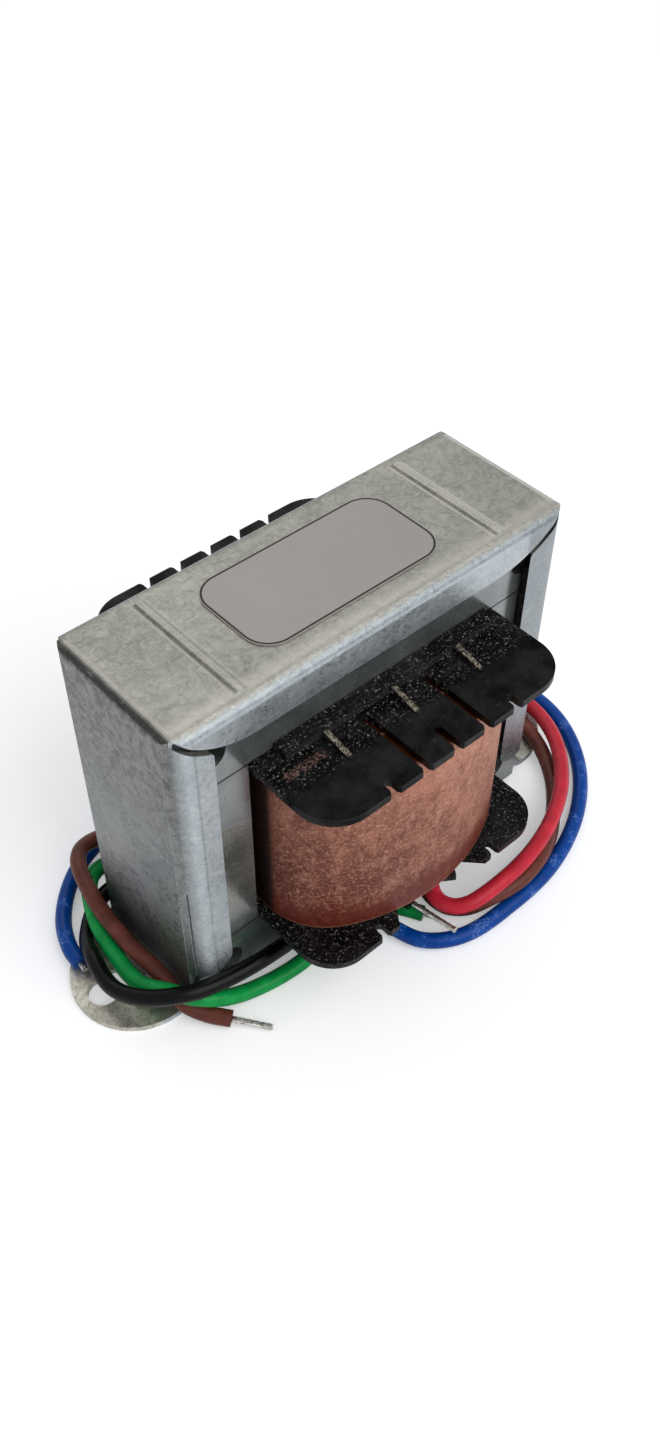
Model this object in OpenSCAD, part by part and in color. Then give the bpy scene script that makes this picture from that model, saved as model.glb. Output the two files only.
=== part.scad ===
// Laminated chassis transformer: an interleaved EI core in a folded two-foot channel frame,
// with a twin-flange bobbin, a taped coil and five flying leads.
// X runs along the frame, Y from front to back, Z up. The origin is on the mounting
// surface, at the middle of the frame.

/* [Core] */
// Width of the core across the three legs
core_w = 66; // [60:1:70]
// Height of the stack of laminations, measured from front to back
stack_d = 21.6; // [18:0.6:24]
// Number of interleaved packs in the stack
pack_count = 9; // [5:2:13]
// Diameter of the four corner holes
core_hole_d = 4.6; // [3:0.1:5.4]

/* [Frame] */
// Thickness of the folded sheet
sheet_t = 1; // [0.8:0.1:1.2]
// Gap between the core and the lips, front and back
lip_gap = 0.6; // [0.3:0.1:1]
// Gap between the core and the top of the frame
top_gap = 0.8; // [0.4:0.1:1.2]
// Width of the lips along the left side
left_lip_w = 6; // [5:0.2:7]
// Width of the lips along the right side
right_lip_w = 7; // [5:0.2:7.4]
// Depth of the lip along the top
top_lip_h = 5.8; // [5:0.2:7]
// Concave radius where each foot turns out
foot_bend_r = 3; // [2:0.5:5]
// Distance from the middle of the frame to the tip of a foot
foot_reach = 46.6; // [46.4:0.1:49]
// Distance between the centres of the two fixing slots
slot_pitch = 83; // [82.6:0.1:84]
// Width of a fixing slot
slot_w = 4.5; // [3.5:0.1:5]
// Length of a fixing slot
slot_l = 7; // [5:0.5:7.5]

/* [Bobbin] */
// Thickness of the flanges
flange_t = 1.2; // [1:0.1:1.6]
// Depth of the flanges from front to back
flange_d = 52; // [51.6:0.2:54]
// Width of the wire slots in the flanges
wire_slot_w = 1.2; // [0.8:0.1:1.6]
// Distance between neighbouring wire slots
wire_slot_pitch = 5.5; // [5:0.1:5.8]

/* [Coil] */
// Half of the coil's width inside the windows
coil_half_w = 20.4; // [19:0.1:21]
// Half of the coil's depth at the middle of its bulge
coil_half_d = 24.6; // [23:0.1:25.4]
// Thickness of the outer tape
tape_t = 0.5; // [0.3:0.1:0.8]

/* [Label] */
// Length of the label
label_w = 31.5; // [20:0.5:36]
// Width of the label
label_d = 15.5; // [10:0.5:18]

/* [Leads] */
// Outer diameter of the insulated leads
lead_d = 2.5; // [2:0.1:2.5]
// Diameter of the tinned strands
strand_d = 0.9; // [0.6:0.1:1]

/* [Hidden] */
$fn = 64;
eps = 0.01;

// Core: every size of an EI lamination follows from its unit, half the centre leg
unit = core_w / 6;
core_bottom = 0.8;
core_top = core_bottom + 5 * unit;
window_bottom = core_bottom + unit;
window_top = core_top - unit;
window_out = 2 * unit;
pack_t = stack_d / pack_count;

// Frame
frame_half_w = core_w / 2 + sheet_t;
frame_half_d = stack_d / 2 + lip_gap + sheet_t;
frame_top = core_top + top_gap + sheet_t;
edge_r = 1.7;
corner_r = 3.2;
strip_half_w = 9.9;
lip_bottom = 8.5;
slit_y = frame_half_d - sheet_t - 0.35;
slit_w = 0.3;
slit_top = 28;
lip_low_r = 2.4;
seam_w = 0.9;
slot_r = slot_w / 2;
bead_x = 22.1;
bead_y = -0.4;
bead_rise = 0.4;
bead_half_w = 1.3;
bead_len = 20.4;

// Ends of the top lip, left and right: [where the sweep starts, its radius]
sweeps = [[21, 15.5], [20, 18]];

// Side lips, left and right: [width, radius of the upper corner]
side_lips = [[left_lip_w, 1.2], [right_lip_w, 1]];

// Bobbin
wall_t = 1;
play = 0.2;
tube_half_w = unit + play + wall_t;
tube_half_d = stack_d / 2 + play + wall_t;
flange_half_w = window_out - 0.1;
flange_half_d = flange_d / 2;
bobbin_bottom = window_bottom + play;
bobbin_top = window_top - play;
flange_corner_r = 6;
bar_out = 13.4;
gusset_out = 18.9;

// Coil, from the tube outwards: [half width, half depth, corner radius, bulge radius]
primary_size = [16.2, 17.4, 5, 40];
secondary_size = [coil_half_w - tape_t, coil_half_d - tape_t, 10.5, 29.5];
insulation_size = [primary_size[0] + 0.4, primary_size[1] + 0.4, 5.4, 40.4];
tape_size = [coil_half_w, coil_half_d, 11, 30];
coil_bottom = bobbin_bottom + flange_t;
coil_top = bobbin_top - flange_t;

// Leads: each route runs from under a flange slot to the end of the insulation
exit_z = bobbin_bottom;
route_red = [
    [5.5, -18.1, exit_z], [5.5, -18.1, 10.4], [5.1, -18.6, 8.1], [4.1, -19.9, 6.4],
    [3, -21.6, 5.8], [2.8, -23.5, 5.5], [3.7, -25.4, 5.5], [5.5, -26.7, 5.9],
    [8, -27.3, 6.4], [11, -27.5, 6.7], [19, -26.7, 6.5], [27, -24.1, 5.8],
    [34.4, -19.8, 5], [41, -13, 4.4], [44.9, -5, 3.2], [45.1, 3, 2.7],
    [42.7, 10.5, 2.3], [37.2, 16.8, 1.5],
    [28.1, 20.8, 1.3], [12.2, 21.5, 1.3], [-7.7, 21.7, 1.3]
];
route_brown = [
    [5.5, -15.4, exit_z], [5.5, -15.4, 7.2], [5.1, -17, 3.6], [4.5, -20, 1.8],
    [4.9, -22.8, 1.6], [6.8, -25.3, 2.1], [10.4, -27, 3.2], [15.4, -28.1, 4],
    [21.6, -27, 3.8], [29.4, -22.8, 2], [37, -15.6, 2], [41.1, -6.9, 2.4], [41.1, 4, 2.4],
    [37.3, 12.2, 2.1], [28.2, 17.4, 1.3], [4.2, 18.7, 1.3], [-17.6, 19.4, 1.9],
    [-26.5, 20.5, 5], [-33, 18.8, 7.5], [-36.2, 11.4, 8.1], [-36.7, 2.1, 6.2],
    [-35.6, -5.8, 3.8], [-35.8, -9.9, 2.9], [-34.1, -13.1, 1.8], [-31.7, -16.1, 1.4]
];
route_blue = [
    [-5.5, -15.1, exit_z], [-5.5, -15.1, 7.2], [-5, -16.7, 3.6], [-3.7, -20.4, 1.5],
    [-1.9, -24.7, 1.3], [2.8, -28, 1.3], [13, -29.1, 1.3], [23.9, -28.1, 1.3],
    [35, -23.5, 1.3], [43.4, -16.1, 1.3], [48.1, -7, 1.3], [48.7, 2.5, 1.3],
    [46.6, 11.9, 1.3], [39, 20.3, 1.3], [26.2, 24.2, 1.3], [0.3, 24.7, 1.3],
    [-19.6, 24.5, 1.3], [-32.5, 21.1, 1.3], [-39.4, 15.1, 1.5], [-42.5, 8.6, 2.4],
    [-42.8, 5.4, 2.4]
];
route_green = [
    [5.5, 15.1, exit_z], [5.5, 15.1, 7.6], [4.1, 15.3, 3.9], [-0.4, 15.9, 1.5],
    [-13.7, 16.4, 1.3], [-24.6, 17.1, 1.8], [-32.7, 16.3, 4.2], [-37.1, 9.6, 5.1],
    [-38.7, 2.4, 4.3], [-39, -3.7, 4.3], [-37, -8.9, 5.7], [-33.4, -12.9, 4.8],
    [-27.3, -14.4, 1.9], [-17.8, -15.5, 1.3], [-10.4, -14.2, 1.3], [-6, -14, 1.3],
    [-2.7, -15.4, 1.3], [-0.4, -18, 1.3], [1.5, -21.4, 1.4]
];
route_black = [
    [-5.5, 14.7, exit_z], [-5.5, 14.7, 7.6], [-6.9, 14.4, 3.9], [-11.5, 13.4, 1.5],
    [-23.6, 13.4, 1.3], [-33.5, 13.5, 1.8], [-39.2, 8.8, 2.5], [-41.7, 3, 5],
    [-42.4, -2.9, 5.2], [-40.5, -8, 6.8], [-36.5, -11.9, 8.1], [-31.8, -13.4, 7.7],
    [-19.8, -14.2, 6.5], [-9.6, -12.9, 5.2], [-5.6, -12.8, 4.9], [-2.1, -14.3, 4.7],
    [-0.6, -17.5, 4.6], [0, -20.2, 4.4]
];
lead_sides = 8;

// Length of the tinned strands beyond each lead
tip_l = 5;
brown_tip_l = 6;
blue_tip_l = 1.5;
green_tip_l = 1.8;
black_tip_l = 8;

// ---------- shapes ----------

module rounded_rect(w, d, r) {
    square([w - 2 * r, d], center = true);
    square([w, d - 2 * r], center = true);
    for (x = [-1, 1], y = [-1, 1])
        translate([x * (w / 2 - r), y * (d / 2 - r)]) circle(r);
}

// A profile drawn in X and Z, made d deep and centred on Y
module along_y(d) {
    rotate([90, 0, 0]) linear_extrude(height = d, center = true) children();
}

// A profile drawn in Y and Z, made w long and centred on X
module along_x(w) {
    rotate([90, 0, 90]) linear_extrude(height = w, center = true) children();
}

// ---------- core ----------

// One E, yoke down, drawn in X and Z from the bottom of the core
module e_outline() {
    difference() {
        translate([-core_w / 2, 0]) square([core_w, 4 * unit]);
        for (side = [-1, 1])
            translate([side * 1.5 * unit, unit + 2 * unit]) square([unit, 4 * unit], center = true);
        for (side = [-1, 1])
            translate([side * 2.5 * unit, unit / 2]) circle(d = core_hole_d);
    }
}

// One I, drawn in X and Z from its lower edge
module i_outline() {
    difference() {
        translate([-core_w / 2, 0]) square([core_w, unit]);
        for (side = [-1, 1])
            translate([side * 2.5 * unit, unit / 2]) circle(d = core_hole_d);
    }
}

// Every second pack of the stack, starting with pack number first
module packs(first) {
    for (i = [first:2:pack_count - 1])
        translate([0, -stack_d / 2 + (i + 0.5) * pack_t, 0]) along_y(pack_t) children();
}

module e_laminations_upright() {
    color("#8a8c8c") translate([0, 0, core_bottom]) packs(0) e_outline();
}

module i_laminations_top() {
    color("#8a8c8c") translate([0, 0, window_top]) packs(0) i_outline();
}

module e_laminations_inverted() {
    color("#7f8282") translate([0, 0, core_top]) packs(1) mirror([0, 1]) e_outline();
}

module i_laminations_bottom() {
    color("#7f8282") translate([0, 0, core_bottom]) packs(1) i_outline();
}

// ---------- frame ----------

// Top, side walls, bends and feet of the strip, drawn in X and Z
module strip_profile() {
    bend_x = frame_half_w + foot_bend_r;
    bend_z = sheet_t + foot_bend_r;
    difference() {
        union() {
            translate([0, frame_top / 2]) rounded_rect(2 * frame_half_w, frame_top, edge_r);
            translate([-foot_reach, 0]) square([2 * foot_reach, bend_z]);
        }
        translate([-core_w / 2, -1]) square([core_w, frame_top - sheet_t + 1]);
        for (side = [-1, 1]) {
            translate([side * bend_x, bend_z]) circle(foot_bend_r);
            translate([side * (bend_x + 25), sheet_t + 25]) square(50, center = true);
            mirror([side < 0 ? 1 : 0, 0]) difference() {
                translate([core_w / 2 - 1, -1]) square([foot_bend_r + 2, bend_z + 1]);
                translate([bend_x, bend_z]) circle(foot_bend_r + sheet_t);
                translate([bend_x, -2]) square([5, bend_z + 4]);
            }
        }
    }
}

// Plan of the strip with its two round feet and their slots
module strip_plan() {
    foot_x = foot_reach - strip_half_w;
    difference() {
        union() {
            square([2 * foot_x, 2 * strip_half_w], center = true);
            for (side = [-1, 1]) translate([side * foot_x, 0]) circle(strip_half_w);
        }
        for (side = [-1, 1]) translate([side * slot_pitch / 2, 0]) {
            square([slot_l - slot_w, slot_w], center = true);
            for (end = [-1, 1]) translate([end * (slot_l - slot_w) / 2, 0]) circle(slot_r);
        }
    }
}

// Box around the core with all its outer edges rounded
module rounded_box() {
    intersection() {
        along_y(4 * frame_half_d)
            translate([0, frame_top / 2]) rounded_rect(2 * frame_half_w, frame_top, edge_r);
        along_x(4 * frame_half_w)
            translate([0, frame_top / 2]) rounded_rect(2 * frame_half_d, frame_top, edge_r);
        linear_extrude(height = frame_top)
            rounded_rect(2 * frame_half_w, 2 * frame_half_d, corner_r);
    }
}

// Height where the seam under the swept end of the top lip meets side lip i, at x
function seam_z(i, x) =
    frame_top - top_lip_h + sweeps[i][1]
    - sqrt(pow(sweeps[i][1] + seam_w, 2) - pow(x - sweeps[i][0], 2));

// Opening in the front and back faces: the lips are what is left around it
module face_opening() {
    for (i = [0, 1]) mirror([1 - i, 0]) {
        lip_in = frame_half_w - side_lips[i][0];
        corner = side_lips[i][1];
        difference() {
            union() {
                translate([-eps, -20]) square([lip_in + eps, frame_top + 20]);
                translate([-eps, -20]) square([frame_half_w + 1, lip_bottom + 20]);
                lip_corner(lip_in, lip_low_r, -lip_bottom - lip_low_r, 1);
                lip_corner(lip_in, corner, seam_z(i, lip_in + corner) - corner, 0);
                intersection() {
                    top_lip(sweeps[i], seam_w);
                    translate([lip_in - eps, window_top]) square([frame_half_w, 20]);
                }
            }
            top_lip(sweeps[i], 0);
        }
    }
}

// The top lip, with its end swept up to the corner of the frame, grown by a margin
module top_lip(sweep, margin) {
    lip_edge = frame_top - top_lip_h;
    x = sweep[0];
    r = sweep[1];
    translate([-1, lip_edge - margin]) square([x + 1, frame_top]);
    intersection() {
        translate([x, lip_edge + r]) circle(r + margin, $fn = 180);
        translate([x - eps, lip_edge - 2]) square([frame_half_w, r]);
    }
}

// What rounding with radius r takes off a side lip above height z, or below it when flipped
module lip_corner(lip_in, r, z, flip) {
    mirror([0, flip]) difference() {
        translate([lip_in - eps, z]) square([r + eps, r]);
        translate([lip_in + r, z]) circle(r, $fn = 96);
    }
}

module channel_frame() {
    color("#a5a59c") difference() {
        union() {
            difference() {
                rounded_box();
                translate([0, 0, -1]) linear_extrude(height = frame_top - sheet_t + 1)
                    rounded_rect(core_w, 2 * (frame_half_d - sheet_t), lip_gap);
                for (face = [-1, 1]) translate([0, face * frame_half_d, 0])
                    along_y(2 * sheet_t + 0.4) face_opening();
                translate([0, 0, lip_bottom / 2 - 1])
                    cube([2.2 * frame_half_w, 4 * frame_half_d, lip_bottom + 2], center = true);
                for (face = [-1, 1]) translate([0, face * slit_y, slit_top / 2 - 1])
                    cube([2.2 * frame_half_w, slit_w, slit_top + 2], center = true);
            }
            intersection() {
                along_y(2 * strip_half_w) strip_profile();
                linear_extrude(height = frame_top) strip_plan();
            }
            for (side = [-1, 1]) translate([side * bead_x, bead_y, frame_top]) bead(bead_len);
        }
        for (side = [-1, 1]) translate([side * bead_x, bead_y, frame_top - sheet_t]) bead(bead_len - 1);
    }
}

// Soft ridge pressed into the top from below, cut square at its two ends
module bead(length) {
    step = 15;
    along_y(length) polygon([
        for (a = [-180:step:180]) [bead_half_w * a / 180, bead_rise * (1 + cos(a)) / 2],
        [bead_half_w, -eps], [-bead_half_w, -eps]
    ]);
}

module label_plate() {
    color("#a39c94") translate([-0.5, 0, frame_top])
        linear_extrude(height = 0.2) rounded_rect(label_w, label_d, 4);
}

// ---------- bobbin ----------

// Wire slot that opens on the front edge of a flange, from depth inner outwards
module wire_slot(x, inner) {
    r = wire_slot_w / 2;
    mouth_w = 1.8;
    mouth_d = 0.5;
    translate([x, 0]) {
        translate([-r, -flange_half_d - 1]) square([wire_slot_w, flange_half_d + 1 - inner - r]);
        translate([0, -inner - r]) circle(r);
        polygon([
            [-mouth_w / 2, -flange_half_d - eps], [mouth_w / 2, -flange_half_d - eps],
            [r, -flange_half_d + mouth_d], [-r, -flange_half_d + mouth_d]
        ]);
    }
}

// Barbed lead-in of the lower flange, across the three middle slots, measured from its edge
module lead_in() {
    r = wire_slot_w / 2;
    p = wire_slot_pitch;
    translate([0, -flange_half_d]) polygon([
        [-p - 3.1, -eps], [-p - r, 3.4], [-p + r, 3.6], [-r, 1.7], [r, 2.8],
        [p - 1.9, 0.8], [p - r, 2.8], [p + r, 3], [p + 3.5, -eps]
    ]);
}

module flange_outline() {
    difference() {
        rounded_rect(2 * flange_half_w, flange_d, flange_corner_r);
        square([2 * (unit + play), stack_d + 2 * play], center = true);
        for (face = [0, 180]) rotate(face) {
            for (side = [-2, 2]) wire_slot(side * wire_slot_pitch, 23.9);
            for (side = [-1, 1]) wire_slot(side * wire_slot_pitch, 13.9);
            wire_slot(0, 21.7);
        }
    }
}

// Stiffening bar and three gussets that stand on a flange, along one face of the core
module flange_ribs() {
    bar_h = 1.3;
    bar_in = stack_d / 2 + 0.15;
    translate([-18, -bar_out, 0]) cube([38, bar_out - bar_in, bar_h]);
    for (x = [-11.6, 0.2, 12])
        translate([x, 0, 0]) along_x(0.8)
            polygon([[-bar_out + 0.2, 0], [-gusset_out, 0], [-bar_out, bar_h], [-bar_out + 0.2, bar_h]]);
}

module bobbin() {
    color("#1b1b1c") {
        translate([0, 0, bobbin_top - flange_t])
            linear_extrude(height = flange_t) flange_outline();
        translate([0, 0, bobbin_bottom])
            linear_extrude(height = flange_t) difference() {
                flange_outline();
                for (face = [0, 180]) rotate(face) lead_in();
            }
        translate([0, 0, bobbin_bottom])
            linear_extrude(height = bobbin_top - bobbin_bottom) difference() {
                rounded_rect(2 * tube_half_w, 2 * tube_half_d, 0.8);
                square([2 * (unit + play), stack_d + 2 * play], center = true);
            }
        for (face = [0, 180]) rotate(face) {
            translate([0, 0, bobbin_top]) flange_ribs();
            translate([0, 0, bobbin_bottom]) mirror([0, 0, 1]) flange_ribs();
        }
    }
}

// ---------- coil ----------

// Coil outline: flat sides, round corners and a slow bulge at the front and back
module coil_outline(size) {
    half_w = size[0];
    half_d = size[1];
    corner_r = size[2];
    bulge_r = size[3];
    corner_x = half_w - corner_r;
    bulge_y = bulge_r - half_d;
    corner_y = sqrt(pow(bulge_r - corner_r, 2) - pow(corner_x, 2)) - bulge_y;
    sector = [corner_x, corner_y + bulge_y] * 2;
    square([2 * half_w, 2 * corner_y], center = true);
    for (face = [0, 180]) rotate(face) {
        intersection() {
            translate([0, bulge_y]) circle(bulge_r, $fn = 180);
            polygon([[0, bulge_y], [-sector[0], bulge_y - sector[1]], [sector[0], bulge_y - sector[1]]]);
            translate([-half_w, -bulge_r]) square([2 * half_w, bulge_r]);
        }
        for (side = [-1, 1]) translate([side * corner_x, -corner_y]) circle(corner_r);
    }
}

module coil_layer() {
    translate([0, 0, coil_bottom]) linear_extrude(height = coil_top - coil_bottom)
        difference() {
            children(0);
            children(1);
        }
}

module primary_winding() {
    color("#b5622e") coil_layer() {
        coil_outline(primary_size);
        rounded_rect(2 * tube_half_w, 2 * tube_half_d, 0.8);
    }
}

module winding_insulation() {
    color("#d9cfa6") coil_layer() {
        coil_outline(insulation_size);
        coil_outline(primary_size);
    }
}

module secondary_winding() {
    color("#c07038") coil_layer() {
        coil_outline(secondary_size);
        coil_outline(insulation_size);
    }
}

module outer_tape() {
    color("#9a6650") coil_layer() {
        coil_outline(tape_size);
        coil_outline(secondary_size);
    }
}

// ---------- leads ----------

function unit_vector(v) = v / norm(v);

// Direction of the route at point i
function route_dir(p, i) =
    i == 0 ? unit_vector(p[1] - p[0])
    : i == len(p) - 1 ? unit_vector(p[i] - p[i - 1])
    : unit_vector(unit_vector(p[i + 1] - p[i]) + unit_vector(p[i] - p[i - 1]));

// Side direction at every point, carried along the route without twist
function route_sides(p) = [
    for (i = 0, s = unit_vector(cross(route_dir(p, 0), [0.2, 1, 0.1]));
         i < len(p);
         i = i + 1,
         s = i < len(p) ? unit_vector(s - route_dir(p, i) * (s * route_dir(p, i))) : s) s
];

module lead(route) {
    n = len(route);
    sides = route_sides(route);
    points = [
        for (i = [0:n - 1], k = [0:lead_sides - 1])
            let (a = 360 * k / lead_sides, up = cross(route_dir(route, i), sides[i]))
            route[i] + lead_d / 2 * (cos(a) * sides[i] + sin(a) * up)
    ];
    walls = [
        for (i = [0:n - 2], k = [0:lead_sides - 1])
            let (a = i * lead_sides + k, b = i * lead_sides + (k + 1) % lead_sides)
            each [[a, b + lead_sides, b], [a, a + lead_sides, b + lead_sides]]
    ];
    ends = [
        [for (k = [0:lead_sides - 1]) k],
        [for (k = [lead_sides - 1:-1:0]) (n - 1) * lead_sides + k]
    ];
    polyhedron(points, concat(walls, ends));
}

// Tinned strands that run straight on from the end of a lead
module tinned_tip(route, length = tip_l) {
    last = route[len(route) - 1];
    dir = route_dir(route, len(route) - 1);
    translate(last) rotate([0, acos(dir[2]), atan2(dir[1], dir[0])])
        cylinder(h = length, d = strand_d, $fn = 24);
}

module lead_red() { color("#cd3241") lead(route_red); }
module lead_brown() { color("#6e413c") lead(route_brown); }
module lead_blue() { color("#14418f") lead(route_blue); }
module lead_green() { color("#14a050") lead(route_green); }
module lead_black() { color("#1c1c1e") lead(route_black); }
module tip_red() { color("silver") tinned_tip(route_red); }
module tip_brown() { color("silver") tinned_tip(route_brown, brown_tip_l); }
module tip_blue() { color("silver") tinned_tip(route_blue, blue_tip_l); }
module tip_green() { color("silver") tinned_tip(route_green, green_tip_l); }
module tip_black() { color("silver") tinned_tip(route_black, black_tip_l); }

channel_frame();
label_plate();
e_laminations_upright();
i_laminations_top();
e_laminations_inverted();
i_laminations_bottom();
bobbin();
primary_winding();
winding_insulation();
secondary_winding();
outer_tape();
lead_red();
lead_brown();
lead_blue();
lead_green();
lead_black();
tip_red();
tip_brown();
tip_blue();
tip_green();
tip_black();
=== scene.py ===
"""Looks of the laminated chassis transformer: camera, leads, materials, floor and light.

The frame is in metres: X runs along the chassis frame, the front is -Y, and Z is up.
"""

import math

import bmesh
import bpy
from mathutils import Matrix, Vector


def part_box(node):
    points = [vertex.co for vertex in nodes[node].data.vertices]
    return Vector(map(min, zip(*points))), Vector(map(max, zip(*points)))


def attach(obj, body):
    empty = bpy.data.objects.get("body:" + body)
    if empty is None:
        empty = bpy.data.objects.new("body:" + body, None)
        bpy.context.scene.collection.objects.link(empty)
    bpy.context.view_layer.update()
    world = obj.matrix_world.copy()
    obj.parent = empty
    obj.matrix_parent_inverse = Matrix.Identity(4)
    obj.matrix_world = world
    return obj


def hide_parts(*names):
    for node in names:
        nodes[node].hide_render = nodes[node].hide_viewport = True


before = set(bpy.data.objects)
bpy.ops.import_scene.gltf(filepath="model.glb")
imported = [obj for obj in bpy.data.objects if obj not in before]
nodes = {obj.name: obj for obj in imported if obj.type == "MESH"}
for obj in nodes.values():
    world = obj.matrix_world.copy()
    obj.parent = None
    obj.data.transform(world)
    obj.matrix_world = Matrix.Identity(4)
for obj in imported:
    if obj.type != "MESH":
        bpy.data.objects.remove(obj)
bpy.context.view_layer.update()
MM = 0.001


def add_object(name, data):
    """A new object, linked to the scene."""
    item = bpy.data.objects.new(name, data)
    bpy.context.scene.collection.objects.link(item)
    return item


# ---------- camera ----------

PHOTO_SIZE = (660, 1450)  # in pixels
FOCAL_LENGTH = 1293.3  # in pixels of the photograph
SENSOR_WIDTH = 36  # in mm


def make_camera():
    """The view of the photograph: down on the front left corner of the frame."""
    eye = Vector((-0.08519, -0.09616, 0.16572))
    forward = Vector((0.46284, 0.49888, -0.73273))
    right = Vector((0.74141, -0.67095, 0.01151))
    up = right.cross(forward)
    data = bpy.data.cameras.new("camera")
    data.sensor_width = SENSOR_WIDTH
    data.lens = SENSOR_WIDTH * FOCAL_LENGTH / max(PHOTO_SIZE)
    data.shift_x = -0.0092
    data.shift_y = 0.0007
    data.clip_start = 0.01
    camera = add_object("camera", data)
    axes = Matrix((right, up, -forward)).transposed().to_4x4()
    camera.matrix_world = Matrix.Translation(eye) @ axes
    bpy.context.scene.camera = camera


make_camera()

# ---------- leads ----------

LEAD_RADIUS = 1.25 * MM
STRAND_RADIUS = 0.15 * MM
STRAND_LAY = 6 * MM  # the length of one full twist
STRAND_STEPS = 24
STRANDS_ROUND = 6

# The centre line of each lead, from its slot in the bobbin to the end of its insulation. These
# are the points of the routes in part.scad, in metres.
EXIT_Z = 0.0120
ROUTES = {
    "red": [
        (0.0055, -0.0181, EXIT_Z), (0.0055, -0.0181, 0.0104), (0.0051, -0.0186, 0.0081),
        (0.0041, -0.0199, 0.0064), (0.0030, -0.0216, 0.0058), (0.0028, -0.0235, 0.0055),
        (0.0037, -0.0254, 0.0055), (0.0055, -0.0267, 0.0059), (0.0080, -0.0273, 0.0064),
        (0.0110, -0.0275, 0.0067), (0.0190, -0.0267, 0.0065), (0.0270, -0.0241, 0.0058),
        (0.0344, -0.0198, 0.0050), (0.0410, -0.0130, 0.0044), (0.0449, -0.0050, 0.0032),
        (0.0451, 0.0030, 0.0027), (0.0427, 0.0105, 0.0023), (0.0372, 0.0168, 0.0015),
        (0.0281, 0.0208, 0.0013), (0.0122, 0.0215, 0.0013), (-0.0077, 0.0217, 0.0013),
    ],
    "brown": [
        (0.0055, -0.0154, EXIT_Z), (0.0055, -0.0154, 0.0072), (0.0051, -0.0170, 0.0036),
        (0.0045, -0.0200, 0.0018), (0.0049, -0.0228, 0.0016), (0.0068, -0.0253, 0.0021),
        (0.0104, -0.0270, 0.0032), (0.0154, -0.0281, 0.0040), (0.0216, -0.0270, 0.0038),
        (0.0294, -0.0228, 0.0020), (0.0370, -0.0156, 0.0020), (0.0411, -0.0069, 0.0024),
        (0.0411, 0.0040, 0.0024), (0.0373, 0.0122, 0.0021), (0.0282, 0.0174, 0.0013),
        (0.0042, 0.0187, 0.0013), (-0.0176, 0.0194, 0.0019), (-0.0265, 0.0205, 0.0050),
        (-0.0330, 0.0188, 0.0075), (-0.0362, 0.0114, 0.0081), (-0.0367, 0.0021, 0.0062),
        (-0.0356, -0.0058, 0.0038), (-0.0358, -0.0099, 0.0029), (-0.0341, -0.0131, 0.0018),
        (-0.0317, -0.0161, 0.0014),
    ],
    "blue": [
        (-0.0055, -0.0151, EXIT_Z), (-0.0055, -0.0151, 0.0072), (-0.0050, -0.0167, 0.0036),
        (-0.0037, -0.0204, 0.0015), (-0.0019, -0.0247, 0.0013), (0.0028, -0.0280, 0.0013),
        (0.0130, -0.0291, 0.0013), (0.0239, -0.0281, 0.0013), (0.0350, -0.0235, 0.0013),
        (0.0434, -0.0161, 0.0013), (0.0481, -0.0070, 0.0013), (0.0487, 0.0025, 0.0013),
        (0.0466, 0.0119, 0.0013), (0.0390, 0.0203, 0.0013), (0.0262, 0.0242, 0.0013),
        (0.0003, 0.0247, 0.0013), (-0.0196, 0.0245, 0.0013), (-0.0325, 0.0211, 0.0013),
        (-0.0394, 0.0151, 0.0015), (-0.0425, 0.0086, 0.0024), (-0.0428, 0.0054, 0.0024),
    ],
    "green": [
        (0.0055, 0.0151, EXIT_Z), (0.0055, 0.0151, 0.0076), (0.0041, 0.0153, 0.0039),
        (-0.0004, 0.0159, 0.0015), (-0.0137, 0.0164, 0.0013), (-0.0246, 0.0171, 0.0018),
        (-0.0327, 0.0163, 0.0042), (-0.0371, 0.0096, 0.0051), (-0.0387, 0.0024, 0.0043),
        (-0.0390, -0.0037, 0.0043), (-0.0370, -0.0089, 0.0057), (-0.0334, -0.0129, 0.0048),
        (-0.0273, -0.0144, 0.0019), (-0.0178, -0.0155, 0.0013), (-0.0104, -0.0142, 0.0013),
        (-0.0060, -0.0140, 0.0013), (-0.0027, -0.0154, 0.0013), (-0.0004, -0.0180, 0.0013),
        (0.0015, -0.0214, 0.0014),
    ],
    "black": [
        (-0.0055, 0.0147, EXIT_Z), (-0.0055, 0.0147, 0.0076), (-0.0069, 0.0144, 0.0039),
        (-0.0115, 0.0134, 0.0015), (-0.0236, 0.0134, 0.0013), (-0.0335, 0.0135, 0.0018),
        (-0.0392, 0.0088, 0.0025), (-0.0417, 0.0030, 0.0050), (-0.0424, -0.0029, 0.0052),
        (-0.0405, -0.0080, 0.0068), (-0.0365, -0.0119, 0.0081), (-0.0318, -0.0134, 0.0077),
        (-0.0198, -0.0142, 0.0065), (-0.0096, -0.0129, 0.0052), (-0.0056, -0.0128, 0.0049),
        (-0.0021, -0.0143, 0.0047), (-0.0006, -0.0175, 0.0046), (0.0000, -0.0202, 0.0044),
    ],
}
TIP_LENGTHS = {"red": 5, "brown": 6, "blue": 1.5, "green": 1.8, "black": 8}  # in mm


def level(handle, place, other):
    """Keeps a handle between the heights of its two knots, so the curve never dips under them."""
    low, high = sorted((place.z, other.z))
    handle.z = min(max(handle.z, low), high)
    return handle


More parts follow.
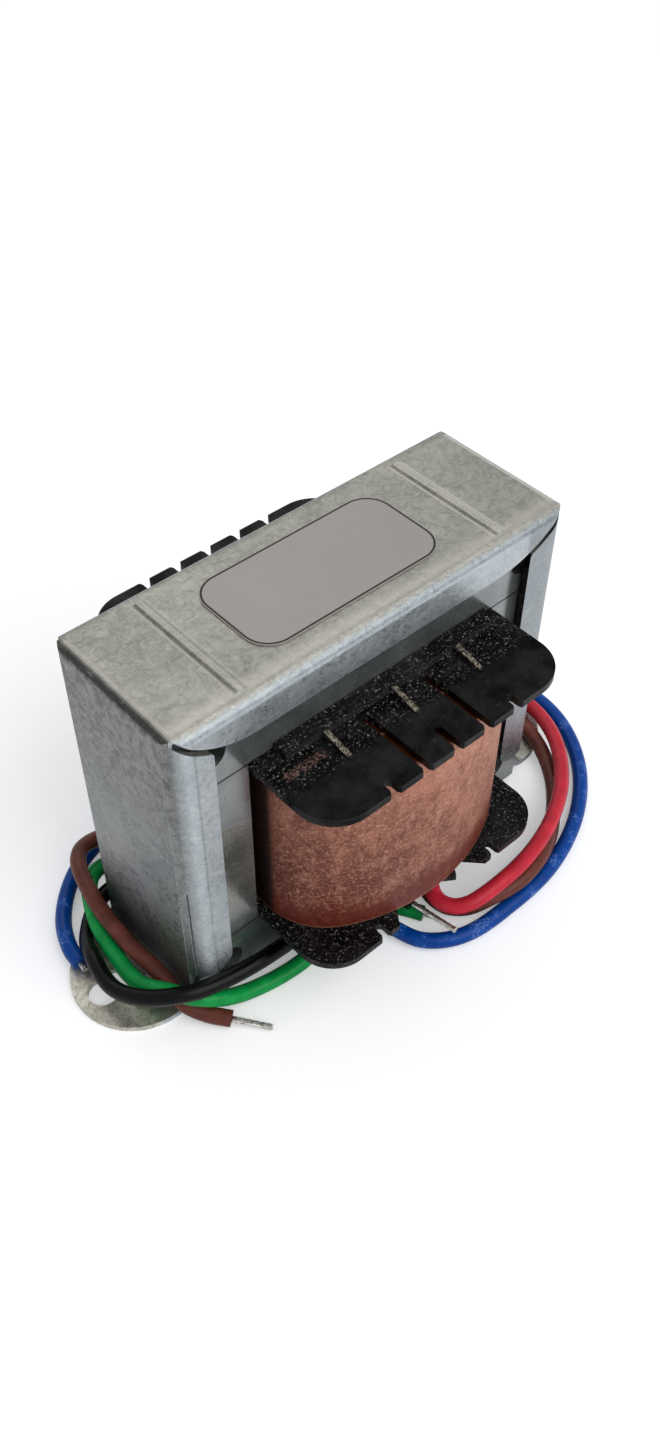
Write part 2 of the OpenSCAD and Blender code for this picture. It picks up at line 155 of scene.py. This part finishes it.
def make_lead(name):
    """The insulation of one lead: a round tube along one smooth curve."""
    data = bpy.data.curves.new(f"{name}_insulation", "CURVE")
    data.dimensions = "3D"
    # The knots carry the radius, because a curve's box is padded by it
    data.bevel_depth = 1
    data.bevel_resolution = 5
    data.resolution_u = 10
    data.use_fill_caps = True
    knots = data.splines.new("BEZIER").bezier_points
    places = [Vector(place) for place in ROUTES[name]]
    knots.add(len(places) - 1)
    befores = places[:1] + places[:-1]
    afters = places[1:] + places[-1:]
    for knot, before, place, after in zip(knots, befores, places, afters):
        along = ((place - before).normalized() + (after - place).normalized()).normalized()
        knot.co = place
        knot.radius = LEAD_RADIUS
        knot.handle_left_type = knot.handle_right_type = "FREE"
        knot.handle_left = level(place - along * (place - before).length / 3, place, before)
        knot.handle_right = level(place + along * (after - place).length / 3, place, after)
    return add_object(f"{name}_insulation", data)


def make_strands(name):
    """The tinned end of one lead: six strands twisted round a straight one."""
    length = TIP_LENGTHS[name] * MM
    starts = [Vector()]
    for index in range(STRANDS_ROUND):
        turn = Matrix.Rotation((index + 1) * math.tau / STRANDS_ROUND, 3, "Z")
        starts.append(turn @ Vector((2 * STRAND_RADIUS, 0, 0)))
    form = bmesh.new()
    for start in starts:
        circle = bmesh.ops.create_circle(form, cap_ends=True, segments=8, radius=STRAND_RADIUS)
        ring = circle["verts"]
        bmesh.ops.translate(form, verts=ring, vec=start)
        bmesh.ops.spin(
            form,
            geom=[face for face in form.faces if all(vert in ring for vert in face.verts)],
            axis=(0, 0, 1), cent=(0, 0, 0), dvec=(0, 0, length / STRAND_STEPS),
            angle=math.tau * length / STRAND_LAY, steps=STRAND_STEPS, use_duplicate=False,
        )
    bmesh.ops.recalc_face_normals(form, faces=form.faces)
    last, end = (Vector(place) for place in ROUTES[name][-2:])
    aim = (end - last).to_track_quat("Z", "Y").to_matrix().to_4x4()
    bmesh.ops.transform(form, matrix=Matrix.Translation(end) @ aim, verts=form.verts)
    data = bpy.data.meshes.new(f"{name}_strands")
    form.to_mesh(data)
    form.free()
    for face in data.polygons:
        face.use_smooth = len(face.vertices) == 4
    return add_object(f"{name}_strands", data)


leads = {}
strands = {}
for colour, route in ROUTES.items():
    leads[colour] = make_lead(colour)
    strands[colour] = make_strands(colour)
    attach(leads[colour], "root")
    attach(strands[colour], "root")
    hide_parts(f"lead_{colour}")
    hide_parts(f"tip_{colour}")

# ---------- shader nodes ----------


def linear(colour):
    """An sRGB hex colour as linear RGBA."""
    parts = [int(colour[i:i + 2], 16) / 255 for i in (1, 3, 5)]
    return [p / 12.92 if p <= 0.04045 else ((p + 0.055) / 1.055) ** 2.4 for p in parts] + [1]


def empty_tree(owner):
    """The node tree of a new material or world, without the nodes it comes with."""
    owner.use_nodes = True
    owner.node_tree.nodes.clear()
    return owner.node_tree


def add(tree, kind, inputs=None, **settings):
    """A new node. inputs maps the names or numbers of its sockets to constants or wires."""
    node = tree.nodes.new("ShaderNode" + kind)
    for key, value in settings.items():
        setattr(node, key, value)
    for key, value in (inputs or {}).items():
        if isinstance(value, Wire):
            tree.links.new(value.socket, node.inputs[key])
        else:
            node.inputs[key].default_value = value
    return node


class Wire:
    """An output of a shader node. Arithmetic on a wire adds Math nodes to its tree."""

    def __init__(self, node, output=0):
        self.tree = node.id_data
        self.socket = node.outputs[output]

    def apply(self, operation, other=0.0):
        """The outcome of a Math node's operation on this number and other."""
        return Wire(add(self.tree, "Math", {0: self, 1: other}, operation=operation))

    def __add__(self, other):
        return self.apply("ADD", other)

    def __sub__(self, other):
        return self.apply("SUBTRACT", other)

    def __mul__(self, other):
        return self.apply("MULTIPLY", other)

    def __abs__(self):
        return self.apply("ABSOLUTE")

    def at_least(self, other):
        return self.apply("MAXIMUM", other)

    def span(self, low, high, to_low=0, to_high=1, kind="SMOOTHSTEP"):
        """Maps this number from low..high to to_low..to_high, held at the ends."""
        limits = {"From Min": low, "From Max": high, "To Min": to_low, "To Max": to_high}
        return Wire(add(self.tree, "MapRange", {"Value": self, **limits}, interpolation_type=kind))

    def between(self, low, high, fade):
        """1 from low to high and 0 outside, softened over fade inside either end."""
        return self.span(low, low + fade) * self.span(high, high - fade)


def mix(factor, a, b):
    """Colour a turned to b by factor. a and b are hex colours or wires."""
    first, second = (linear(colour) if isinstance(colour, str) else colour for colour in (a, b))
    inputs = {"Factor": factor, 6: first, 7: second}  # 6 and 7 are the sockets for colours
    return Wire(add(factor.tree, "Mix", inputs, data_type="RGBA"), 2)


def bump(height, distance):
    """A bump of distance millimetres for each unit of height."""
    return Wire(add(height.tree, "Bump", {"Height": height, "Distance": distance * MM}))


class Surface:
    """A material under construction.

    x, y and z are the place in mm, and face_x, face_y and face_z say how far the surface faces
    along each axis, from -1 to 1.
    """

    def __init__(self, name):
        self.material = bpy.data.materials.new(name)
        self.tree = empty_tree(self.material)
        self.coordinates = add(self.tree, "TexCoord")
        self.x, self.y, self.z = self.parts(self.place())
        self.face_x, self.face_y, self.face_z = self.parts(Wire(self.coordinates, "Normal"))

    def place(self, stretch=(1, 1, 1), turn=(0, 0, 0)):
        """The place in mm, divided by stretch along each axis and then turned."""
        inputs = {"Vector": Wire(self.coordinates, "Object"), "Rotation": turn}
        inputs["Scale"] = [1 / (MM * ratio) for ratio in stretch]
        return Wire(add(self.tree, "Mapping", inputs))

    def parts(self, vector):
        """The X, Y and Z of a vector."""
        node = add(self.tree, "SeparateXYZ", {0: vector})
        return [Wire(node, axis) for axis in range(3)]

    def noise(self, size, detail=3, roughness=0.55, distortion=0, **place):
        """Noise from 0 to 1 with features about size millimetres across."""
        return Wire(add(self.tree, "TexNoise", {
            "Vector": self.place(**place), "Scale": 1 / size, "Detail": detail,
            "Roughness": roughness, "Distortion": distortion,
        }))

    def finish(self, **inputs):
        """Ends the material in one Principled shader. Names use _ for the spaces of its sockets."""
        named = {key.replace("_", " "): value for key, value in inputs.items()}
        shader = add(self.tree, "BsdfPrincipled", named)
        add(self.tree, "OutputMaterial", {"Surface": Wire(shader)})
        return self.material


# ---------- materials ----------


def box_mm(name):
    """The two corners of a node's box in millimetres, as the patterns use them."""
    return [Vector(corner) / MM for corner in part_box(name)]


# Places and sizes on the part, in mm
JOINT_TOP = box_mm("i_laminations_top")[0].z  # the heights where an E meets an I
JOINT_BOTTOM = box_mm("i_laminations_bottom")[1].z
FRAME_HALF_DEPTH = box_mm("channel_frame")[1].y
BEAD_END = 10.4  # the beads run along Y to this far on either side
CREASE_X = -30.4  # on the front left lip
RIGHT_LIP_X = 26  # just short of the right lip's free edge
SLOT_X = 38  # the inner ends of the slots in the feet
LEFT_LEG_X = -22  # the inner edge of the core's left leg
FLANGE_TOP = JOINT_TOP - 0.2
FLANGE_EDGE = box_mm("bobbin")[1].y
BETWEEN_FLANGES = 30
RESIDUE_X = (-20.5, -13)  # a strip on the upper flange
RESIDUE_Y = (-16.4, -14.6)
GUSSET_Y = -13.5  # where the gussets' tops rise above the flange
SHEET_THICKNESS = 0.5  # one lamination
WIRE_PITCH = 0.5  # one turn of a winding


def zinc_painted_light_and_shade(skin, tone, wipe):
    """Painted light and shade on each face: the top warm, the lips lit pale, the side walls shaded
    dull.
    """
    light = tone.span(0.36, 0.64)
    warm = mix(light, "#82827a", "#b2b0a5")
    lit_lip_tone = mix(light, "#b2babe", "#d2d9dc")
    # Painted shade makes the walls darker low down; they are greyer and wiped near the top
    shaded_wall = mix(light, "#7b7e7d", "#a9abaa")
    shaded_wall = mix(skin.z.span(24, 8, 0, 0.5), shaded_wall, "#4b5255")
    wiped = mix(wipe.span(0.36, 0.62), "#5e5f5e", "#91908c")
    shaded_wall = mix(skin.z.span(32, 48, 0, 0.85), shaded_wall, wiped)
    top = skin.face_z.span(0.6, 0.9)
    side = abs(skin.face_x).span(0.6, 0.9)
    colour = mix(top, mix(side, lit_lip_tone, shaded_wall), warm)
    # Painted highlight: the top is pale along its front edge
    edge_highlight = top * skin.y.span(4.4 - FRAME_HALF_DEPTH, 1.8 - FRAME_HALF_DEPTH)
    return mix(edge_highlight * 0.65, colour, "#cdc9bd")


def bead_painted_light_and_shade(skin, colour):
    """Painted highlights on the beads' flanks, and painted shade along the foot of their left
    flanks.
    """
    flank = skin.face_z.span(0.86, 0.92) * abs(skin.y).span(BEAD_END + 0.2, BEAD_END - 0.2)
    # Painted highlight on the right flanks
    scuff_and_highlight = skin.face_x.span(-0.05, 0.2) * skin.x.span(-15, 15, 0.45, 0.9)
    colour = mix(flank * scuff_and_highlight, colour, "#e2dfd4")
    # Painted highlight on the left flanks
    left_flank_highlight = skin.face_x.span(-0.03, -0.2) * skin.face_x.span(-0.42, -0.32, 0, 0.6)
    colour = mix(flank * left_flank_highlight, colour, "#c9c5ba")
    # Painted shade: a dark line at the foot of the left flanks
    return mix(flank * skin.face_x.span(-0.36, -0.46, 0, 0.55), colour, "#5a5852")


def lip_painted_shade(skin, colour, patch):
    """Painted shade: a faint dark line down a crease in the front left lip, a duller right lip, and
    a dark cut edge on the right lip.
    """
    off_crease = abs(skin.x - CREASE_X + patch * 0.8)
    # Painted shade along the crease
    crease_shade = off_crease.span(0, 0.25, 0.4, 0) * skin.face_y.span(-0.9, -0.95)
    colour = mix(crease_shade, colour, "#6f767a")
    # Painted shade on the right lip, darkest on its cut edge
    right = skin.x.span(RIGHT_LIP_X, RIGHT_LIP_X + 0.6)
    colour = mix(right * skin.face_y.span(-0.7, -0.9, 0, 0.45), colour, "#646b6f")
    return mix(right * skin.face_x.span(-0.6, -0.9), colour, "#0c0c0c")


def bend_shade(skin, colour, cloud):
    """Painted shade on the bends, where the surface faces between two directions: dark along the
    left top edge and greyer over the front bend.
    """
    most = abs(skin.face_x).at_least(abs(skin.face_y)).at_least(abs(skin.face_z))
    bend = most.span(0.96, 0.78) * skin.face_x.span(-0.15, -0.5)
    bend = bend * skin.face_z.span(0.1, 0.4, 0.3, 0.9)
    colour = mix(bend, colour, "#2e2b29")
    # Painted shade dulls the highlight on the front bend
    front_bend = skin.face_y.span(-0.35, -0.6) * skin.face_z.span(0.2, 0.5)
    return mix(front_bend * cloud.span(0.3, 0.7, 0.75, 0.5), colour, "#7d8589")


def zinc_marks(skin, colour, cloud):
    """Pale hairlines, dark pits, and feet blotched white from their slots outwards."""
    hair = skin.noise(0.16, detail=2, stretch=(1, 16, 1), turn=(0, 0, 0.7)).span(0.63, 0.72)
    cross = skin.noise(0.16, detail=2, stretch=(14, 1, 3), turn=(0.2, 0, 0.3)).span(0.66, 0.74)
    colour = mix(hair.at_least(cross) * 0.45, colour, "#d6d6cd")
    pits = skin.noise(0.5, detail=2).span(0.72, 0.78)
    colour = mix(pits * 0.4, colour, "#62635c")
    foot = skin.z.span(3, 2.2) * abs(skin.x).span(SLOT_X, SLOT_X + 2, 0, 0.8)
    return mix(foot, colour, mix(cloud.span(0.4, 0.6), "#c4beae", "#eee8d8"))


def galvanised_steel():
    """Hot-dip galvanised sheet: softly mottled zinc with its marks, and painted light and shade on
    each face, bead, lip and bend of the frame.
    """
    skin = Surface("galvanised_steel")
    cloud = skin.noise(1.5, detail=7, roughness=0.72, distortion=1.6)
    patch = skin.noise(9)
    grain = skin.noise(0.3, detail=4, roughness=0.7)
    wipe = skin.noise(1.3, detail=5, distortion=0.8, stretch=(2.2, 1, 1), turn=(0.4, 0.3, 0.6))
    tone = cloud * 0.6 + patch * 0.25 + wipe * 0.15
    colour = zinc_painted_light_and_shade(skin, tone, wipe)
    colour = bead_painted_light_and_shade(skin, colour)
    colour = lip_painted_shade(skin, colour, patch)
    colour = bend_shade(skin, colour, cloud)
    colour = zinc_marks(skin, colour, cloud)
    fine = grain * 0.3
    return skin.finish(
        Base_Color=colour, Metallic=0.85, Roughness=(fine + tone).span(0.5, 0.8, 0.24, 0.38),
        Normal=bump(fine + tone * 3, 0.05),
    )


def silicon_steel():
    """Cold-rolled core steel: blue-grey and scratched, with its joints and sheets as lines."""
    skin = Surface("silicon_steel")
    flat = abs(skin.face_y).span(0.2, 0.5)
    cloud = skin.noise(6, detail=5, roughness=0.6)
    grain = skin.noise(0.4, detail=5, roughness=0.75)
    colour = mix(cloud.span(0.3, 0.7), "#868a8a", "#a5a9a9")
    along = skin.noise(0.3, detail=2, stretch=(9, 1, 1), turn=(0, 0.7, 0)).span(0.68, 0.73)
    upright = skin.noise(0.25, detail=2, stretch=(1, 1, 12), turn=(0, 0.5, 0)).span(0.7, 0.76)
    scratch = along.at_least(upright)
    colour = mix(scratch * 0.5, colour, "#b4b3ae")

    # A yellowed, pitted patch on the front left leg, with a slanted upper edge
    slant = cloud * 1.5 + skin.x * 0.3 + skin.z
    patch = slant.span(28.7, 28.2) * slant.span(6, 14)
    patch = patch * skin.x.span(LEFT_LEG_X + 0.5, LEFT_LEG_X - 0.5) * skin.y.span(0, -5)
    yellow = mix(grain.span(0.4, 0.6), "#85837a", "#c4c0b4")
    colour = mix(patch * 0.6, colour, yellow)

    # Joints between an E and an I on the faces, and sheets at the edges of the stack
    off_joint = abs(skin.z - JOINT_TOP).apply("MINIMUM", abs(skin.z - JOINT_BOTTOM))
    joint = off_joint.span(0.08, 0.2, 1, 0) * flat
    gap = skin.y.apply("PINGPONG", SHEET_THICKNESS / 2).span(0, 0.06, 1, 0)
    edge = (gap - flat).at_least(0)
    colour = mix(edge.at_least(joint), colour, "#151617")
    height = (patch * grain + scratch) * 0.5 - edge
    return skin.finish(
        Base_Color=colour, Metallic=0.8, Roughness=cloud.span(0.3, 0.7, 0.14, 0.24),
        Normal=bump(height, 0.03),
    )


def label_film():
    """Satin grey polyester label with a thin dark border line close to its edge."""
    skin = Surface("label_film")
    low, high = box_mm("label_plate")
    middle = (low + high) / 2
    half = (high - low) / 2
    corner = 3.8
    line_in = 0.25
    straight_x = half.x - line_in - corner
    straight_y = half.y - line_in - corner
    past_x = (abs(skin.x - middle.x) - straight_x).at_least(0)
    past_y = (abs(skin.y - middle.y) - straight_y).at_least(0)
    off_line = abs((past_x * past_x + past_y * past_y).apply("SQRT") - corner)
    fleck = skin.noise(0.3, detail=4, roughness=0.7)
    colour = mix(skin.noise(8), "#99948d", "#a29d96")
    colour = mix(fleck.span(0.68, 0.74, 0, 0.3), colour, "#77716b")
    colour = mix(off_line.span(0.11, 0.18, 1, 0), colour, "#1a1715")
    return skin.finish(
        Base_Color=colour, Metallic=0.25, Roughness=fleck.span(0.3, 0.7, 0.38, 0.48),
        Normal=bump(fleck, 0.01),
    )


def black_nylon():
    """Moulded black nylon: coarse and sparkling near the core, with a smooth satin rim."""
    skin = Surface("black_nylon")
    outward = abs(skin.y) + skin.noise(3) * 4
    lower = skin.z.span(BETWEEN_FLANGES, BETWEEN_FLANGES - 10, 0, 0.6)
    near_core = outward.span(FLANGE_EDGE - 5, FLANGE_EDGE - 7.5).at_least(lower)
    pits = skin.noise(0.42, detail=5, roughness=0.85)
    sheen = skin.noise(4, detail=4, roughness=0.6)
    colour = mix(sheen.span(0.35, 0.65), "#020202", "#0d0c0b")
    spark = pits.span(0.57, 0.64) * near_core
    colour = mix(spark * 0.8, colour, "#bebcb8")

    # A strip of brown residue on the upper flange, and pale dust all over
    residue = skin.x.between(*RESIDUE_X, 1) * skin.y.between(*RESIDUE_Y, 0.5)
    upper = skin.z.span(BETWEEN_FLANGES, BETWEEN_FLANGES + 1, 0, 0.6)
    colour = mix(residue * upper * pits.span(0.46, 0.55), colour, "#8f6d63")
    dust = skin.noise(0.5, detail=4, roughness=0.7).span(0.67, 0.74)
    colour = mix(dust * 0.5, colour, "#8c8884")

    # Painted highlights: pale edges on the rim of the upper flange and on the tops of its gussets
    above = skin.z - FLANGE_TOP
    edge_highlight = skin.face_y.span(-0.2, -0.7) * above.span(-0.2, 0)
    colour = mix(edge_highlight * 0.1, colour, "#7c7a78")
    gusset_highlight = above.span(0.1, 0.3) * skin.y.span(GUSSET_Y, GUSSET_Y - 0.4)
    gusset_highlight = gusset_highlight * skin.face_z.span(0.9, 0.95)
    colour = mix(gusset_highlight * pits.span(0.47, 0.55, 0.05, 0.7), colour, "#b5aa98")
    height = pits * near_core.span(0, 1, 0.03, 1) + sheen * 0.8
    return skin.finish(
        Base_Color=colour, Roughness=sheen.span(0.35, 0.65, 0.14, 0.34),
        Specular_IOR_Level=sheen.span(0.36, 0.72, 0.07, 0.2), Normal=bump(height, 0.2),
    )


def copper_tape():
    """Varnished copper-brown wrap: finely mottled, paler above and stained red below."""
    skin = Surface("copper_tape")
    low, high = box_mm("outer_tape")
    fleck = skin.noise(0.45, detail=5, roughness=0.8)
    mottle = skin.noise(1.6, detail=6, roughness=0.75, stretch=(1, 1, 1.4))
    patch = skin.noise(6)
    rise = skin.z.span(low.z, high.z, kind="LINEAR")
    across = skin.x.span(low.x, high.x, kind="LINEAR")
    light = rise * 0.35 + across * 0.35 + patch * 0.45
    colour = mix(light.span(0.3, 0.95), "#64281b", "#c4846a")
    colour = mix(mottle.span(0.5, 0.62, 0, 0.45), colour, "#b67f69")
    colour = mix(mottle.span(0.5, 0.36, 0, 0.5), colour, "#552a20")
    colour = mix(fleck.span(0.52, 0.62, 0, 0.6), colour, "#cf9c80")
    colour = mix(fleck.span(0.48, 0.38, 0, 0.4), colour, "#4a2119")
    stain = (patch * 0.3 + rise).span(0.4, 0.2)
    colour = mix(stain * 0.8, colour, mix(mottle, "#4c1209", "#7c3022"))
    # Painted shade, almost black, on the left where the coil goes into the core; pale along the cut
    # edge
    recess_shade = (abs(skin.y) - mottle * 1.5).span(FRAME_HALF_DEPTH, FRAME_HALF_DEPTH - 1.4)
    left = skin.x.span(low.x + 5.4, low.x + 3.4)
    colour = mix(recess_shade * left * 0.95, colour, "#120402")
    colour = mix(skin.z.span(low.z + 0.35, low.z + 0.1, 0, 0.6), colour, "#a9705c")
    return skin.finish(
        Base_Color=colour, Metallic=0.1, Specular_IOR_Level=0.35,
        Roughness=mottle.span(0.3, 0.7, 0.55, 0.4), Normal=bump(fleck, 0.08),
    )


def enamelled_copper():
    """Lacquered winding wire, laid in even turns, with painted shade between the turns and a
    painted highlight along each.
    """
    skin = Surface("enamelled_copper")
    turn = skin.z.apply("PINGPONG", WIRE_PITCH / 2)
    # Painted shade between the turns, lightening to a painted highlight along the middle of each
    colour = mix(turn.span(0, WIRE_PITCH / 2), "#5e2a12", "#b96a35")
    colour = mix(skin.noise(2).span(0.4, 0.7, 0, 0.4), colour, "#8c4520")
    return skin.finish(Base_Color=colour, Metallic=0.9, Roughness=0.3, Normal=bump(turn, 0.4))


def barrier_paper():
    """Pressed barrier paper with a short fibre grain."""
    skin = Surface("barrier_paper")
    fibre = skin.noise(0.25, detail=4, stretch=(1, 1, 5))
    colour = mix(fibre.span(0.3, 0.7), "#6f4f38", "#8b6547")
    return skin.finish(Base_Color=colour, Roughness=0.8, Normal=bump(fibre, 0.03))


def pvc(name, body, dark, scuff, scuffs):
    """Extruded PVC insulation with faint dust and, where scuffs is above 0, pale rubbed patches."""
    skin = Surface(name)
    cloud = skin.noise(3, detail=4)
    speck = skin.noise(0.35, detail=4, roughness=0.7)
    colour = mix(cloud.span(0.3, 0.75), dark, body)
    scuff_and_highlight = cloud.span(0.52, 0.6) * speck.span(0.5, 0.6)
    colour = mix(scuff_and_highlight * scuffs, colour, scuff)
    colour = mix(speck.span(0.68, 0.76, 0, 0.35), colour, scuff)
    return skin.finish(
        Base_Color=colour, Roughness=cloud.span(0.3, 0.7, 0.18, 0.3), Specular_IOR_Level=0.18,
        Normal=bump(speck, 0.03),
    )


def tinned_copper():
    """Solder-dipped strands, bright with dull flux spots."""
    skin = Surface("tinned_copper")
    flux = skin.noise(0.6, detail=4)
    colour = mix(flux.span(0.45, 0.65), "#dcdad4", "#8d8780")
    return skin.finish(
        Base_Color=colour, Metallic=1, Roughness=flux.span(0.3, 0.7, 0.22, 0.45),
        Normal=bump(flux, 0.03),
    )


def dress(material, *pieces):
    """Gives each piece this material alone."""
    for piece in pieces:
        piece.data.materials.clear()
        piece.data.materials.append(material)


# Body, darker body, scuff and how strongly the scuffs show
PVC_LOOKS = {
    "red": ("#cf2c3e", "#b52433", "#e09098", 0),
    "brown": ("#733f34", "#5a3027", "#a5857e", 0),
    "blue": ("#0048a2", "#003a84", "#86a3cf", 0.5),
    "green": ("#10a24c", "#0a863e", "#8fd0a8", 0),
    "black": ("#08080a", "#030304", "#77777a", 0),
}

dress(galvanised_steel(), nodes["channel_frame"])
dress(label_film(), nodes["label_plate"])
dress(
    silicon_steel(), nodes["e_laminations_upright"], nodes["e_laminations_inverted"],
    nodes["i_laminations_top"], nodes["i_laminations_bottom"],
)
dress(black_nylon(), nodes["bobbin"])
dress(enamelled_copper(), nodes["primary_winding"], nodes["secondary_winding"])
dress(barrier_paper(), nodes["winding_insulation"])
dress(copper_tape(), nodes["outer_tape"])
dress(tinned_copper(), *strands.values())
for colour, look in PVC_LOOKS.items():
    dress(pvc(f"pvc_{colour}", *look), leads[colour])

# ---------- floor and light ----------

FLOOR_HALF = 0.6
FLOOR_GLOW = 0.3  # lifts the floor to white where the camera sees it
ROOM_STRENGTH = 0.64
LAMP_AIM = Vector((0, 0, 0.03))


def make_floor():
    """A pale floor that keeps the object's shadow and meets a white surround."""
    corners = [(x * FLOOR_HALF, y * FLOOR_HALF, 0) for x, y in ((-1, -1), (1, -1), (1, 1), (-1, 1))]
    data = bpy.data.meshes.new("floor")
    data.from_pydata(corners, [], [(0, 1, 2, 3)])
    floor = add_object("floor", data)
    material = bpy.data.materials.new("floor_paper")
    tree = empty_tree(material)
    paper = Wire(add(tree, "BsdfDiffuse", {"Color": linear("#f2f2f2")}))
    lift = Wire(add(tree, "LightPath"), "Is Camera Ray") * FLOOR_GLOW
    glow = Wire(add(tree, "Emission", {"Color": (1, 1, 1, 1), "Strength": lift}))
    surface = Wire(add(tree, "AddShader", {0: paper, 1: glow}))
    add(tree, "OutputMaterial", {"Surface": surface})
    dress(material, floor)


def make_world():
    """An even pale room, white where the camera sees it, also through clear surfaces."""
    world = bpy.data.worlds.new("room")
    tree = empty_tree(world)
    path = add(tree, "LightPath")
    seen = Wire(path, "Is Camera Ray").at_least(Wire(path, "Is Transmission Ray"))
    strength = seen.at_least(ROOM_STRENGTH)
    room = Wire(add(tree, "Background", {"Color": linear("#f4f6fa"), "Strength": strength}))
    add(tree, "OutputWorld", {"Surface": room})
    bpy.context.scene.world = world


def make_lamp(name, place, size, power):
    """A square soft lamp that looks at the object."""
    data = bpy.data.lights.new(name, "AREA")
    data.size = size
    data.energy = power
    lamp = add_object(name, data)
    lamp.location = place
    lamp.rotation_euler = (LAMP_AIM - lamp.location).to_track_quat("-Z", "Y").to_euler()


make_floor()
make_world()
make_lamp("key_lamp", place=(0.1, -0.45, 0.45), size=0.6, power=2.2)
make_lamp("back_lamp", place=(0.2, 0.48, 0.5), size=0.45, power=0.42)

scene = bpy.context.scene
scene.view_settings.view_transform = "Standard"

bpy.context.view_layer.update()
